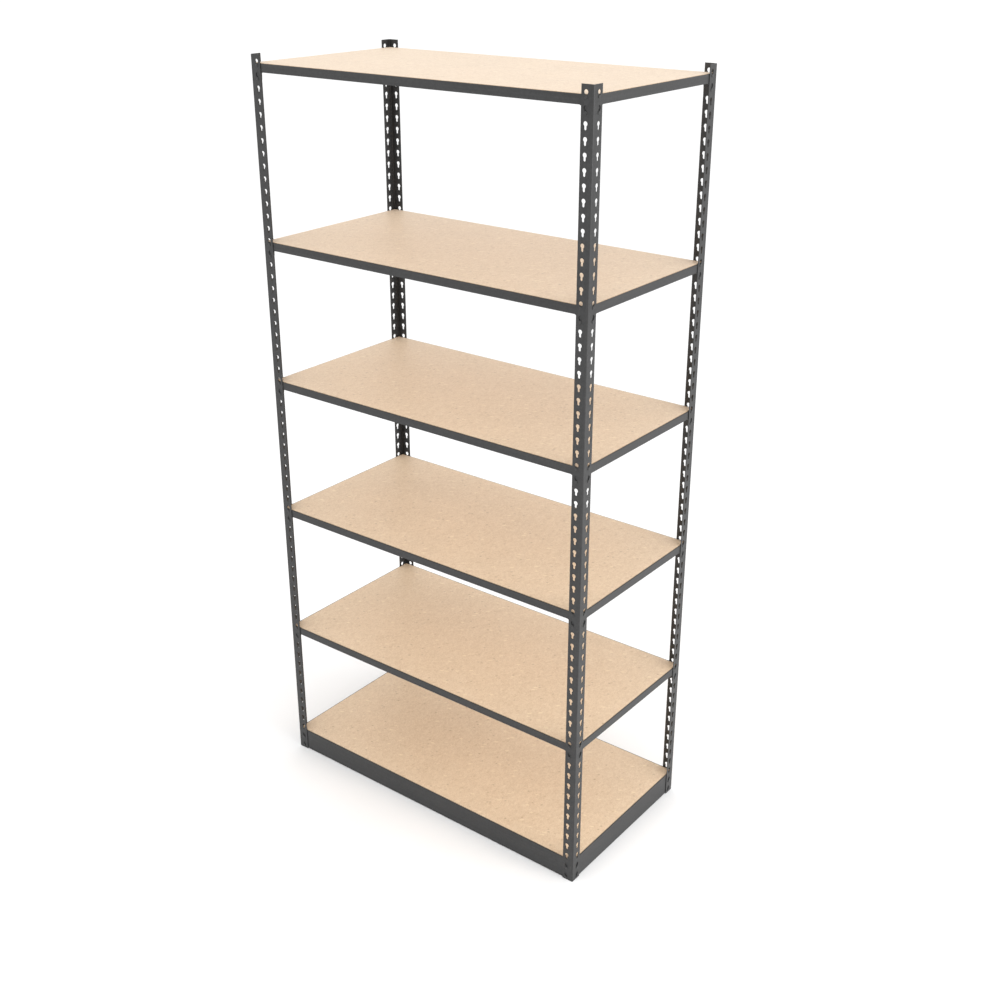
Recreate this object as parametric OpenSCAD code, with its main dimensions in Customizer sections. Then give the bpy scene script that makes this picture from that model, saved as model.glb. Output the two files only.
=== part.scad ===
// Boltless steel shelving with six levels, 48 by 24 by 96 inches.
// Millimetres, +Z up, front towards -Y, origin on the floor at the middle of the footprint.

/* [Overall size] */
// Width over the outer faces of the posts
frame_w = 1219.2; // [914.4:76.2:1524]
// Depth over the outer faces of the posts
frame_d = 609.6; // [457.2:76.2:762]
// Height of the posts
post_h = 2438.4; // [2133.6:38.1:2438.4]

/* [Shelf levels] */
// Keyhole rows from the bottom shelf up to the second
lower_gap = 11; // [8:1:12]
// Keyhole rows between the shelves above the second
middle_gap = 12; // [8:1:12]

/* [Posts] */
// Width of each flange of a post
flange_w = 38.1; // [36:0.1:44]
// Thickness of the post steel
post_t = 1.9; // [1.5:0.1:2.5]
// Outside radius of the post's bend
post_bend_r = 3; // [2.6:0.1:4]

/* [Keyholes] */
// Height from one keyhole to the next
pitch = 38.1; // [36:0.1:40]
// Diameter of the round head of a keyhole
keyhole_d = 12.7; // [12:0.1:14]
// Width of the slot below the head
slot_w = 7; // [6.9:0.1:8]
// Drop from the centre of the head to the centre of the slot's round end
slot_drop = 12; // [11:0.1:13]
// Distance of the keyholes' centre line from the outer corner of the post
column_in = 24; // [22:0.1:26]

/* [Beams] */
// Thickness of the beam steel
beam_t = 1.5; // [1.2:0.1:1.8]
// Height of the face of the beams on levels 2 to 6
low_face = 25.4; // [24:0.1:30]
// Height of the face of the bottom beams
tall_face = 76.2; // [70:0.1:77]
// Reach of the ledge that carries the board
ledge_w = 16; // [12:0.5:20]

/* [Boards] */
// Thickness of the particle board
board_t = 15.9; // [12:0.1:16]
// Height of the board's top above the beams' top edges
board_rise = 1; // [0:0.1:2]

/* [Rivets] */
// Diameter of a rivet's shank
shank_d = 6.35; // [5.5:0.05:6.4]
// Diameter of a rivet's head
rivet_head_d = 9.5; // [9:0.1:11]

/* [Hidden] */
$fn = 48;
fit_gap = 0.3;                     // air between parts that lift past each other
steel = [0.30, 0.31, 0.32];
rivet_coat = [0.36, 0.37, 0.38];
particle_board = [0.87, 0.76, 0.62];

// Levels, counted from the floor. A level's row is the keyhole that shows just above its beams.
rows = floor(post_h / pitch);
bottom_row = 2;
second_row = bottom_row + lower_gap;
level_rows = [bottom_row, second_row, second_row + middle_gap, second_row + 2 * middle_gap,
              second_row + 3 * middle_gap, rows - 1];
levels = [1:6];
function row_z(row) = (row + 0.5) * pitch;
function is_tall(level) = level == 1;
function face_h(level) = is_tall(level) ? tall_face : low_face;

// Heights of the beams' top edges
foot_gap = 2.5;                    // floor to the underside of the bottom beams
head_show = 6.35;                  // head centre to the top edge of a low beam
function top_z(level) =
    is_tall(level) ? foot_gap + tall_face : row_z(level_rows[level - 1]) - head_show;

// Every beam end has two rivets, one row apart, seated in the ends of two slots
function upper_rivet_row(level) = level_rows[level - 1] - (is_tall(level) ? 1 : 0);
function rivet_zs(level) =
    [for (below = [0, 1]) row_z(upper_rivet_row(level) - below) - slot_drop];

// The beams stand just inside the post flanges
web_in = post_t + fit_gap;         // outer corner of the frame to a beam's outer face
end_in = web_in + 3;               // outer corner of the frame to a beam's end
hem_in = web_in + 2 * beam_t;      // outer corner of the frame to the inside of the fold
end_zone = flange_w + 6;           // length of the flat end, from the outer corner
tab_h = 50.8;                      // height of the flat end of a low beam
tab_slope = 3;                     // drop of its sloping shoulder
tab_chamfer = 3;
lip_h = 7;                         // turned-down edge of the ledge
toe_w = 12;                        // turned-in foot of a tall beam

// Boards lie between the folds, a little above the ledges, and stand just proud of the beams
board_gap = 0.7;
board_w = frame_w - 2 * (hem_in + board_gap);
board_d = frame_d - 2 * (hem_in + board_gap);
board_edge = 0.6;                  // worn edge of the board
ledge_z = board_rise - board_t - fit_gap; // top of the ledge, from the beam's top edge

// Rivets: a low domed head outside the post, and a flat upset head inside the beam
rivet_head_h = 1.8;
upset_d = 8.4;
upset_h = 1.1;
dome_steps = 6;

corners = [["front_left", -1, -1], ["front_right", 1, -1], ["back_left", -1, 1], ["back_right", 1, 1]];
// Side name, turn about Z, half the span across it, and the length that its beams run along
sides = [["front", 0, frame_d / 2, frame_w], ["right", 90, frame_w / 2, frame_d],
         ["back", 180, frame_d / 2, frame_w], ["left", 270, frame_w / 2, frame_d]];

// Keyhole in the X-Y plane with the centre of its head at the origin and its slot towards -Y
module keyhole() {
    circle(d = keyhole_d);
    translate([-slot_w / 2, -slot_drop]) square([slot_w, slot_drop]);
    translate([0, -slot_drop]) circle(d = slot_w);
}

// One column of keyholes through a flange that lies along +X with its outer face at y = 0
module keyhole_column() {
    for (row = [0:rows - 1])
        translate([column_in, 2 * post_t, row_z(row)])
            rotate([90, 0, 0])
                linear_extrude(3 * post_t) keyhole();
}

// Angle with its outer corner at the origin and its flanges along +X and +Y
module post_section() {
    inner_r = post_bend_r - post_t;
    translate([post_bend_r, 0]) square([flange_w - post_bend_r, post_t]);
    translate([0, post_bend_r]) square([post_t, flange_w - post_bend_r]);
    difference() {
        translate([post_bend_r, post_bend_r]) circle(r = post_bend_r);
        translate([post_bend_r, post_bend_r]) circle(r = inner_r);
        translate([post_bend_r, 0]) square(2 * post_bend_r);
        translate([0, post_bend_r]) square(2 * post_bend_r);
    }
}

module post(x_side, y_side) {
    color(steel)
        translate([x_side * frame_w / 2, y_side * frame_d / 2, 0])
            mirror([x_side > 0 ? 1 : 0, 0, 0])
                mirror([0, y_side > 0 ? 1 : 0, 0])
                    difference() {
                        linear_extrude(post_h) post_section();
                        keyhole_column();
                        mirror([1, -1, 0]) keyhole_column();
                    }
}

// Folded section between the posts: outer face at x = 0, top edge at y = 0, ledge towards +X
module beam_section(face) {
    translate([0, -face]) square([beam_t, face - beam_t]);
    translate([beam_t, -beam_t]) circle(r = beam_t);
    translate([beam_t, ledge_z - beam_t]) square([beam_t, -ledge_z]);
    translate([beam_t, ledge_z - beam_t]) square([beam_t + ledge_w, beam_t]);
    translate([beam_t + ledge_w, ledge_z - lip_h]) square([beam_t, lip_h]);
    if (face > tab_h) translate([0, -face]) square([toe_w, beam_t]);
}

// Flat end of a beam, seen from its outer face: x runs out to the end, y = 0 is the top edge
module beam_end(face, start, flange_edge, stop) {
    foot = max(face, tab_h);
    shoulder = foot > face ? [[flange_edge + 1, -foot], [flange_edge, -face - tab_slope]] : [];
    polygon(concat(
        [[start, 0], [stop, 0], [stop, tab_chamfer - foot], [stop - tab_chamfer, -foot]],
        shoulder,
        [[start, -face]]));
}

// Beam along X with its outer face at y = 0 facing -Y and its top edge at z = 0
module beam(face, span, rivet_drops) {
    start = span / 2 - end_zone;
    difference() {
        union() {
            rotate([90, 0, 90])
                linear_extrude(2 * start, center = true) beam_section(face);
            for (end = [0, 1])
                mirror([end, 0, 0])
                    translate([0, beam_t, 0])
                        rotate([90, 0, 0])
                            linear_extrude(beam_t)
                                beam_end(face, start, span / 2 - flange_w, span / 2 - end_in);
        }
        for (end = [-1, 1], drop = rivet_drops)
            translate([end * (span / 2 - column_in), beam_t / 2, -drop])
                rotate([90, 0, 0])
                    cylinder(d = shank_d, h = 2 * beam_t, center = true);
    }
}

module shelf_beam(level, side) {
    color(steel)
        rotate([0, 0, side[1]])
            translate([0, web_in - side[2], top_z(level)])
                beam(face_h(level), side[3], [for (z = rivet_zs(level)) top_z(level) - z]);
}

module board(level) {
    color(particle_board)
        translate([0, 0, top_z(level) + board_rise - board_t])
            intersection() {
                rotate([90, 0, 0])
                    linear_extrude(board_d, center = true) board_outline(board_w);
                rotate([90, 0, 90])
                    linear_extrude(board_w, center = true) board_outline(board_d);
            }
}

// Section of a board of this width, from its underside at y = 0, with its edges eased
module board_outline(across) {
    half = across / 2;
    polygon([[board_edge - half, 0], [half - board_edge, 0],
             [half, board_edge], [half, board_t - board_edge],
             [half - board_edge, board_t], [board_edge - half, board_t],
             [-half, board_t - board_edge], [-half, board_edge]]);
}

// Rivet along Z with the beam's outer face at z = 0 and its domed head up
module rivet() {
    seat = web_in + fit_gap;
    dome = [for (i = [0:dome_steps]) let (a = 90 * i / dome_steps)
        [rivet_head_d / 2 * cos(a), seat + rivet_head_h * (0.35 + 0.65 * sin(a))]];
    rotate_extrude()
        polygon(concat(
            [[0, -beam_t - upset_h], [upset_d / 2, -beam_t - upset_h], [upset_d / 2, -beam_t],
             [shank_d / 2, -beam_t], [shank_d / 2, seat], [rivet_head_d / 2, seat]],
            dome));
}

module rivets(level) {
    color(rivet_coat)
        for (side = sides, end = [-1, 1], z = rivet_zs(level))
            rotate([0, 0, side[1]])
                translate([end * (side[3] / 2 - column_in), web_in - side[2], z])
                    rotate([90, 0, 0]) rivet();
}

for (c = corners)
    post(c[1], c[2]);
for (n = levels, s = sides)
    shelf_beam(n, s);
for (n = levels)
    board(n);
for (n = levels)
    rivets(n);
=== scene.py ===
"""Boltless steel shelving: powder-coated posts and beams with particle board shelves.

Every CAD node keeps its shape. This script gives the nodes their finishes and rounded sheet edges,
and sets up the floor, the light and the camera. Lengths are in metres.
"""

import math

import bpy
from mathutils import Euler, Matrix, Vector


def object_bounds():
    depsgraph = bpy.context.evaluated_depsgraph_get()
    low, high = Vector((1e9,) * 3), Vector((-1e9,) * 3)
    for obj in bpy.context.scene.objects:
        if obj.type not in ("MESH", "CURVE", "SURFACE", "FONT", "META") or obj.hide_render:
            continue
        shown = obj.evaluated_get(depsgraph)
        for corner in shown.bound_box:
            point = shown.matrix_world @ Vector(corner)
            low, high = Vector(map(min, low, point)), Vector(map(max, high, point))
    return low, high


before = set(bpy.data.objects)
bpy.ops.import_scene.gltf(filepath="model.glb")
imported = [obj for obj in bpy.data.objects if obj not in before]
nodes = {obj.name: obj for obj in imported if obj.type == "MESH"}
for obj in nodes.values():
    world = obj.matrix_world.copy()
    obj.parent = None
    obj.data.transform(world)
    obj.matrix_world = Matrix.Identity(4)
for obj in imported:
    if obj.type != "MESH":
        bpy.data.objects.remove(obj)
cad_low, cad_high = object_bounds()
middle = (cad_low + cad_high) / 2

LEVELS = range(1, 7)

# Camera: a little above the top shelf and out from the front right post, looking down at the middle
EYE = Vector((2.435, -3.048, 2.825))
CAMERA_AZIMUTH = math.radians(37.63)
CAMERA_PITCH = math.radians(23.56)
LENS = 0.047
SENSOR = 0.036
SHIFT_Y = -0.02  # share of the picture's width
MM = 1000.0  # Blender's lens and sensor are in millimetres


def make_camera():
    data = bpy.data.cameras.new("camera")
    data.sensor_width = SENSOR * MM
    data.lens = LENS * MM
    data.shift_y = SHIFT_Y
    camera = bpy.data.objects.new("camera", data)
    camera.location = EYE
    camera.rotation_euler = Euler((math.pi / 2 - CAMERA_PITCH, 0, CAMERA_AZIMUTH))
    bpy.context.scene.collection.objects.link(camera)
    bpy.context.scene.camera = camera


make_camera()


# ---------------------------------------------------------------- node helpers


class Graph:
    """A material's node tree, with short calls for the nodes that the finishes use."""

    def __init__(self, name):
        self.material = bpy.data.materials.new(name)
        self.material.use_nodes = True
        self.tree = self.material.node_tree
        self.shader = self.tree.nodes["Principled BSDF"]
        self.coords = self.tree.nodes.new("ShaderNodeTexCoord").outputs["Object"]

    def node(self, kind, **settings):
        made = self.tree.nodes.new("ShaderNode" + kind)
        for key, value in settings.items():
            setattr(made, key, value)
        return made

    def feed(self, socket, value):
        """Links an output to the socket, or sets the socket to a plain value."""
        if isinstance(value, bpy.types.NodeSocket):
            self.tree.links.new(value, socket)
        else:
            socket.default_value = value

    def math(self, operation, a, b=0.0):
        made = self.node("Math", operation=operation)
        self.feed(made.inputs[0], a)
        self.feed(made.inputs[1], b)
        return made.outputs[0]

    def mapped(self, scale=(1, 1, 1), turn=(0, 0, 0)):
        """Object coordinates, turned and then scaled."""
        turned = self.node("Mapping")
        self.feed(turned.inputs["Vector"], self.coords)
        turned.inputs["Rotation"].default_value = turn
        stretched = self.node("Mapping")
        self.feed(stretched.inputs["Vector"], turned.outputs[0])
        stretched.inputs["Scale"].default_value = scale
        return stretched.outputs[0]

    def noise(self, scale, detail=2.0, roughness=0.5, vector=None):
        made = self.node("TexNoise")
        self.feed(made.inputs["Vector"], vector or self.coords)
        made.inputs["Scale"].default_value = scale
        made.inputs["Detail"].default_value = detail
        made.inputs["Roughness"].default_value = roughness
        return made.outputs["Fac"]

    def cells(self, scale, vector, dimensions="3D"):
        made = self.node("TexVoronoi", voronoi_dimensions=dimensions)
        self.feed(made.inputs["Vector"], vector)
        made.inputs["Scale"].default_value = scale
        return made

    def pick(self, cells, channel):
        """One random number for each cell, from one of its three random channels."""
        made = self.node("SeparateColor")
        self.feed(made.inputs[0], cells.outputs["Color"])
        return made.outputs[channel]

    def ramp(self, value, *stops):
        """Colour ramp through (position, colour) stops, where a colour is a grey level or three numbers."""
        made = self.node("ValToRGB")
        self.feed(made.inputs[0], value)
        elements = made.color_ramp.elements
        while len(elements) < len(stops):
            elements.new(0.5)
        for element, (position, colour) in zip(elements, stops):
            element.position = position
            rgb = (colour,) * 3 if isinstance(colour, (int, float)) else colour
            element.color = (*rgb, 1)
        return made.outputs[0]

    def mix(self, factor, a, b, blend="MIX"):
        """Blends two colours. Sockets 6, 7 and 2 are the Mix node's colour inputs and colour output."""
        made = self.node("Mix", data_type="RGBA", blend_type=blend)
        self.feed(made.inputs["Factor"], factor)
        for socket, value in ((made.inputs[6], a), (made.inputs[7], b)):
            self.feed(socket, (*value, 1) if isinstance(value, tuple) else value)
        return made.outputs[2]

    def bump(self, height, strength, distance, under=None):
        made = self.node("Bump")
        made.inputs["Strength"].default_value = strength
        made.inputs["Distance"].default_value = distance
        self.feed(made.inputs["Height"], height)
        if under is not None:
            self.feed(made.inputs["Normal"], under)
        return made.outputs[0]

    def finish(self, **inputs):
        for key, value in inputs.items():
            self.feed(self.shader.inputs[key.replace("_", " ")], value)
        return self.material


def shaded(colour, amount):
    return tuple(amount * c for c in colour)


# ---------------------------------------------------------------- finishes


CHARCOAL = (0.0262, 0.0262, 0.0266)
RIVET_TONE = 1.1  # the rivets are a little lighter than the beams
COAT_GLOSS = 0.44
COAT_ROUGHNESS = 0.28
LINES_ROUGHNESS = 0.14  # the most that the rolling lines add to it
CLOUD_ROUGHNESS = 0.12  # the most that the clouds add to it
LOW, HIGH = 0.35, 0.65  # the part of a noise's range that carries its variation
CLOUD_DEPTH = 0.06  # depths are shares of the base colour, up and down
GRAIN_DEPTH = 0.15
BLOTCH_DEPTH = 0.16
LINES_DEPTH = 0.12


def powder_coat(name, base, along=(1, 1, 1)):
    """Charcoal powder coat with orange peel, faint rolling lines along the piece and an uneven sheen."""
    g = Graph(name)
    cloud = g.noise(scale=6.0, detail=3.0)
    grain = g.noise(scale=900.0, detail=2.0, roughness=0.6)
    blotch = g.noise(scale=140.0, detail=3.0, roughness=0.65)
    lines = g.noise(scale=180.0, detail=2.0, vector=g.mapped(scale=along))
    dark, light = shaded(base, 1.0 - CLOUD_DEPTH), shaded(base, 1.0 + CLOUD_DEPTH)
    colour = g.ramp(cloud, (LOW, dark), (HIGH, light))
    for variation, depth in ((grain, GRAIN_DEPTH), (blotch, BLOTCH_DEPTH), (lines, LINES_DEPTH)):
        tone = g.ramp(variation, (LOW, 1.0 - depth), (HIGH, 1.0 + depth))
        colour = g.mix(1.0, colour, tone, "MULTIPLY")
    lined = g.math("MULTIPLY", lines, LINES_ROUGHNESS)
    clouded = g.math("MULTIPLY", cloud, CLOUD_ROUGHNESS)
    roughness = g.math("ADD", g.math("ADD", lined, clouded), COAT_ROUGHNESS)
    peel = g.bump(g.noise(scale=420.0, detail=1.0), strength=0.2, distance=0.0002)
    fine = g.bump(grain, strength=0.12, distance=0.00008, under=peel)
    return g.finish(Base_Color=colour, Roughness=roughness, Specular_IOR_Level=COAT_GLOSS, Normal=fine)


BOARD_TAN = (0.663, 0.497, 0.338)
CHIP_PALE = (0.76, 0.61, 0.44)
CHIP_BROWN = (0.55, 0.39, 0.245)
BARK = (0.27, 0.165, 0.095)
SPLINTER = (0.86, 0.72, 0.50)
SAWN_TONES = (
    (0.32, (0.24, 0.15, 0.085)),
    (0.55, (0.52, 0.36, 0.22)),
    (0.75, (0.66, 0.50, 0.33)),
)
SAWN_FACING = (0.4, 1.0), (0.6, 0.0)  # a face is sawn where its normal's vertical part is small
BED_DEPTH = 0.05  # share of the board's colour, up and down
BOARD_ROUGHNESS = (0.3, 0.46), (0.7, 0.58)
BOARD_BLOOM = 0.2  # pale dusty look of the sanded face when seen edge-on
BLOOM_ROUGHNESS = 0.4
SPECK_TILT = 0.3
SPECK_OUTLINE = (0.14, 1.0), (0.30, 0.0)  # a speck fades out this far from its cell's centre
SPECK_FADE = 0.02  # how gradually a cell's random number turns into a speck

# Chips that cover the face: cells per metre, stretch, turn, and the most that they tint it
CHIPS = (
    (130.0, (1, 0.5, 1), 0.5, 0.32),
    (190.0, (0.5, 1, 1), 1.3, 0.36),
    (300.0, (1, 0.6, 1), 2.3, 0.42),
    (520.0, (1, 1, 1), 0.0, 0.40),
)
# Rare specks: cells per metre, stretch, turn, colour, the share of cells without one, and their strength
SPECKS = (
    (95.0, (1, 0.6, 1), 0.8, BARK, 0.955, 0.45),
    (75.0, (0.5, 1, 1), 2.0, CHIP_BROWN, 0.92, 0.6),
    (80.0, (1, 0.4, 1), 1.1, SPLINTER, 0.93, 0.48),
)


def particle_board():
    """Sanded particle board: soft chips at odd angles, a few bark specks and pale splinters.

    The sawn edges are coarser and browner than the sanded faces.
    """
    g = Graph("particle_board")
    bed = g.noise(scale=5.0, detail=5.0, roughness=0.62)
    bed_dark, bed_light = shaded(BOARD_TAN, 1.0 - BED_DEPTH), shaded(BOARD_TAN, 1.0 + BED_DEPTH)
    colour = g.ramp(bed, (0.3, bed_dark), (0.7, bed_light))
    for scale, stretch, turn, share in CHIPS:
        chips = g.cells(scale, g.mapped(scale=stretch, turn=(0, 0, turn)))
        light = g.ramp(g.pick(chips, 0), (0.5, 0.0), (1.0, share))
        dark = g.ramp(g.pick(chips, 1), (0.55, 0.0), (1.0, share))
        colour = g.mix(light, colour, CHIP_PALE)
        colour = g.mix(dark, colour, CHIP_BROWN)
    for scale, stretch, turn, tint, rarity, strength in SPECKS:
        # The tilt gives each board its own part of the flat pattern
        place = g.mapped(scale=stretch, turn=(SPECK_TILT, SPECK_TILT, turn))
        specks = g.cells(scale, place, dimensions="2D")
        dot = g.ramp(specks.outputs["Distance"], *SPECK_OUTLINE)
        rare = g.ramp(g.pick(specks, 2), (rarity, 0.0), (rarity + SPECK_FADE, strength))
        colour = g.mix(g.math("MULTIPLY", dot, rare), colour, tint)
    facing = g.node("SeparateXYZ")
    g.feed(facing.inputs[0], g.node("TexCoord").outputs["Normal"])
    sawn = g.ramp(g.math("ABSOLUTE", facing.outputs["Z"]), *SAWN_FACING)
    coarse = g.noise(scale=260.0, detail=4.0, roughness=0.75)
    colour = g.mix(sawn, colour, g.ramp(coarse, *SAWN_TONES))
    surface = g.noise(scale=600.0, detail=3.0, roughness=0.6)
    grit = g.bump(surface, strength=0.08, distance=0.0001)
    pores = g.bump(g.math("MULTIPLY", coarse, sawn), strength=0.35, distance=0.0006, under=grit)
    return g.finish(
        Base_Color=colour,
        Roughness=g.ramp(surface, *BOARD_ROUGHNESS),
        Normal=pores,
        Sheen_Weight=BOARD_BLOOM,
        Sheen_Roughness=BLOOM_ROUGHNESS,
    )


# Stretches of the rolling lines along each axis
ALONG_X = (0.02, 1, 1)
ALONG_Y = (1, 0.02, 1)
ALONG_Z = (1, 1, 0.02)

post_coat = powder_coat("post_coat", CHARCOAL, ALONG_Z)
long_coat = powder_coat("beam_coat_x", CHARCOAL, ALONG_X)
short_coat = powder_coat("beam_coat_y", CHARCOAL, ALONG_Y)
beam_coat = {"front": long_coat, "back": long_coat, "left": short_coat, "right": short_coat}
rivet_coat = powder_coat("rivet_coat", shaded(CHARCOAL, RIVET_TONE))
board_face = particle_board()


def paint(node, material):
    """Gives a CAD node its finish through its object's material slots."""
    for slot in nodes[node].material_slots:
        slot.material = material


EDGE_RADIUS = 0.0003
EDGE_SEGMENTS = 2
SHARP = math.radians(50)


def round_edges(node):
    """Rounds the sharp edges of a sheet metal piece, so that they catch the light."""
    bevel = nodes[node].modifiers.new("rounded_edges", "BEVEL")
    bevel.width = EDGE_RADIUS
    bevel.segments = EDGE_SEGMENTS
    bevel.limit_method = "ANGLE"
    bevel.angle_limit = SHARP


for corner in ("front_left", "front_right", "back_left", "back_right"):
    paint(f"post_{corner}", post_coat)
for level in LEVELS:
    for side, coat in beam_coat.items():
        paint(f"beam_{level}_{side}", coat)
        round_edges(f"beam_{level}_{side}")
    paint(f"board_{level}", board_face)
    paint(f"rivets_{level}", rivet_coat)


# ---------------------------------------------------------------- floor and light

FLOOR_HALF = 400.0  # so wide that its far edge sits at the horizon
FLOOR_GLOW = 0.05
FLOOR_TONES = (0.3, 0.85), (0.7, 0.87)
FLOOR_ROUGHNESS = 0.9
WORLD_LIGHT = 1.2
LIGHT_DISTANCE = 5.0
# Azimuth, elevation, diameter and watts. Azimuth 0 is in front and 90 is to the right.
LIGHTS = {
    "key_right": (90, 12, 3.0, 132),
    "fill_front": (0, 45, 3.0, 32),
}


def make_floor():
    mesh = bpy.data.meshes.new("floor")
    corners = [(x, y, 0) for x, y in ((-1, -1), (1, -1), (1, 1), (-1, 1))]
    mesh.from_pydata([tuple(FLOOR_HALF * c for c in p) for p in corners], [], [(0, 1, 2, 3)])
    floor = bpy.data.objects.new("floor", mesh)
    bpy.context.scene.collection.objects.link(floor)
    g = Graph("floor_paint")
    tone = g.ramp(g.noise(scale=2.0, detail=3.0), *FLOOR_TONES)
    floor_paint = g.finish(
        Base_Color=tone,
        Roughness=FLOOR_ROUGHNESS,
        Emission_Color=tone,
        Emission_Strength=FLOOR_GLOW,
    )
    mesh.materials.append(floor_paint)


def make_light(name, azimuth, elevation, size, power):
    turn, rise = math.radians(azimuth), math.radians(elevation)
    towards = Vector((math.sin(turn) * math.cos(rise), -math.cos(turn) * math.cos(rise), math.sin(rise)))
    data = bpy.data.lights.new(name, "AREA")
    data.shape = "DISK"
    data.size = size
    data.energy = power
    light = bpy.data.objects.new(name, data)
    light.location = middle + LIGHT_DISTANCE * towards
    light.rotation_euler = towards.to_track_quat("Z", "Y").to_euler()
    light.visible_camera = False
    bpy.context.scene.collection.objects.link(light)


def make_world(strength):
    world = bpy.data.worlds.new("studio")
    world.use_nodes = True
    background = world.node_tree.nodes["Background"]
    background.inputs["Color"].default_value = (1, 1, 1, 1)
    background.inputs["Strength"].default_value = strength
    bpy.context.scene.world = world


make_floor()
make_world(WORLD_LIGHT)
for name, light in LIGHTS.items():
    make_light(name, *light)
bpy.context.scene.view_settings.view_transform = "Standard"
